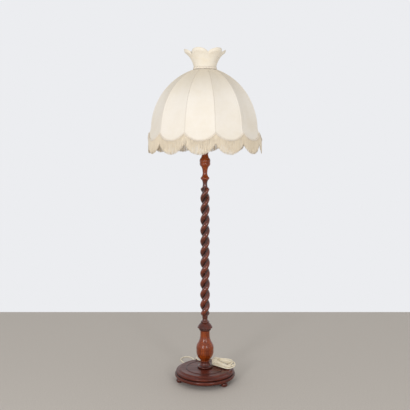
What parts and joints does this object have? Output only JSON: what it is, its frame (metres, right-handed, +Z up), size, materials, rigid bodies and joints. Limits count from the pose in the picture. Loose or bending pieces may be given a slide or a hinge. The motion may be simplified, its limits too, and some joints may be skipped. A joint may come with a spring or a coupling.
{
  "type": "standard lamp",
  "caption": "Turned wood standard lamp with a barley-twist column on a round footed base and a domed, panelled, fringed cloth shade with a flared crown.",
  "frame": {"origin": "on the floor in the middle of the round base", "axes": "+Z up along the column, -Y to the front as pictured, +X to the viewer's right"},
  "size_m": [0.5724, 0.6231, 1.6632],
  "materials": {
    "dark_mahogany": "gloss varnish, dark mahogany stain",
    "amber_mahogany": "gloss varnish, amber mahogany stain",
    "zinc_steel": "zinc plated",
    "brass": "satin, lightly aged",
    "porcelain": "unglazed",
    "black_plastic": "moulded",
    "white_plastic": "moulded",
    "frosted_glass": "pearl",
    "white_wire": "satin enamel",
    "cream_cloth": "light stretched cloth with a soft sheen",
    "cream_braid": "woven braid",
    "cream_fringe": "twisted fringe",
    "cream_flex": "smooth flex sheath"
  },
  "bodies": {
    "lamp": {"baluster": "amber_mahogany", "base_nut": "zinc_steel", "base_plate": "dark_mahogany", "base_washer": "zinc_steel", "bell_foot": "dark_mahogany", "bun_feet": "dark_mahogany", "clamp_rod": "zinc_steel", "collar": "dark_mahogany", "contact_block": "porcelain", "contact_plungers": "brass", "cord_hank": "cream_flex", "cord_run": "cream_flex", "flex_cores": "cream_flex", "holder_body": "brass", "holder_cap": "brass", "inner_flex": "cream_flex", "nipple": "brass", "nipple_nut": "brass", "plate_screws": "brass", "plug": "white_plastic", "plug_pins": "brass", "shade_ring": "black_plastic", "top_plate": "brass", "top_vase": "amber_mahogany", "twist_column": "amber_mahogany"},
    "switch": {"switch_bar": "black_plastic"},
    "bulb": {"bulb_cap": "brass", "bulb_glass": "frosted_glass"},
    "carrier": {"carrier_plate": "brass", "carrier_wires": "brass", "carrier_ring": "brass"},
    "shade": {"seat_plate": "white_wire", "seat_arms": "white_wire", "neck_ring": "white_wire", "shade_ribs": "white_wire", "rim_wire": "white_wire", "crown_stays": "white_wire", "crown_rim_wire": "white_wire", "shade_panels": "cream_cloth", "crown_cloth": "cream_cloth", "neck_gimp": "cream_braid", "rim_gimp": "cream_braid", "fringe": "cream_fringe"}
  },
  "joints": [
    {"name": "switch_push", "type": "slide", "parent": "lamp", "child": "switch", "axis": [1, 0, 0], "range_m": [0, 0.004]},
    {"name": "bulb_turn", "type": "hinge", "parent": "lamp", "child": "bulb", "pos_m": [0, 0, 1.24], "axis": [0, 0, 1], "range_deg": [0, 18]},
    {"name": "carrier_turn", "type": "hinge", "parent": "lamp", "child": "carrier", "pos_m": [0, 0, 1.21], "axis": [0, 0, 1], "continuous": true},
    {"name": "shade_lift", "type": "slide", "parent": "carrier", "child": "shade", "axis": [0, 0, 1], "range_m": [0, 0.32]}
  ]
}
